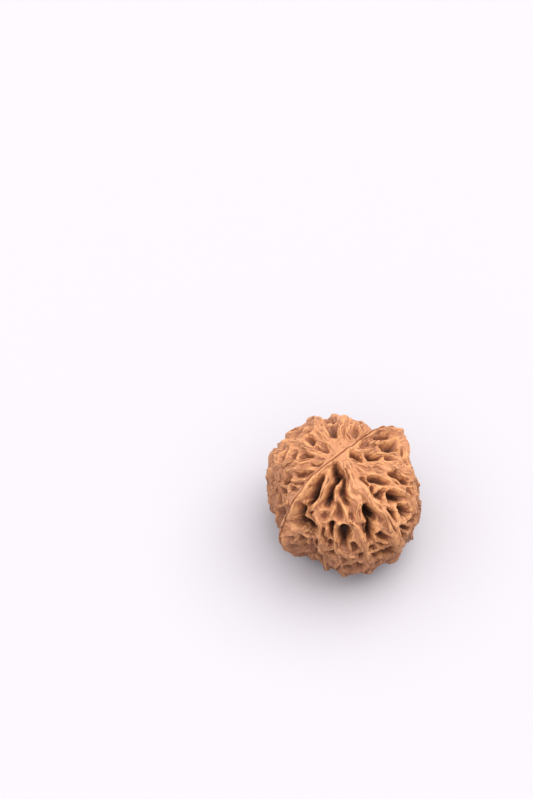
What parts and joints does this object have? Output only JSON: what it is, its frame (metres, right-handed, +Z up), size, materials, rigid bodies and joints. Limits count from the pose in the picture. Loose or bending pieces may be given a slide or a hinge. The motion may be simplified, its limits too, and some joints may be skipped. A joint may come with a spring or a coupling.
{
  "type": "hand walnut",
  "caption": "Hand walnut of the low lion's head form: a hard brown shell with a raised seam ridge, fanning ribs and deep hollows, resting on its flat base",
  "frame": {"origin": "middle of the bounding box in X and Y, on the plane of the flat spot it stands on", "axes": "+Z up from the base through the tip; the seam ridges lie in the XZ plane, on +X and -X; the cheek seen in the picture faces -Y"},
  "size_m": [0.0453, 0.0476, 0.0354],
  "materials": {
    "walnut_shell": "dry satin brown shell, more orange on the ribs and dark brown in the hollows"
  },
  "bodies": {
    "root": {"walnut": "walnut_shell"}
  },
  "joints": []
}
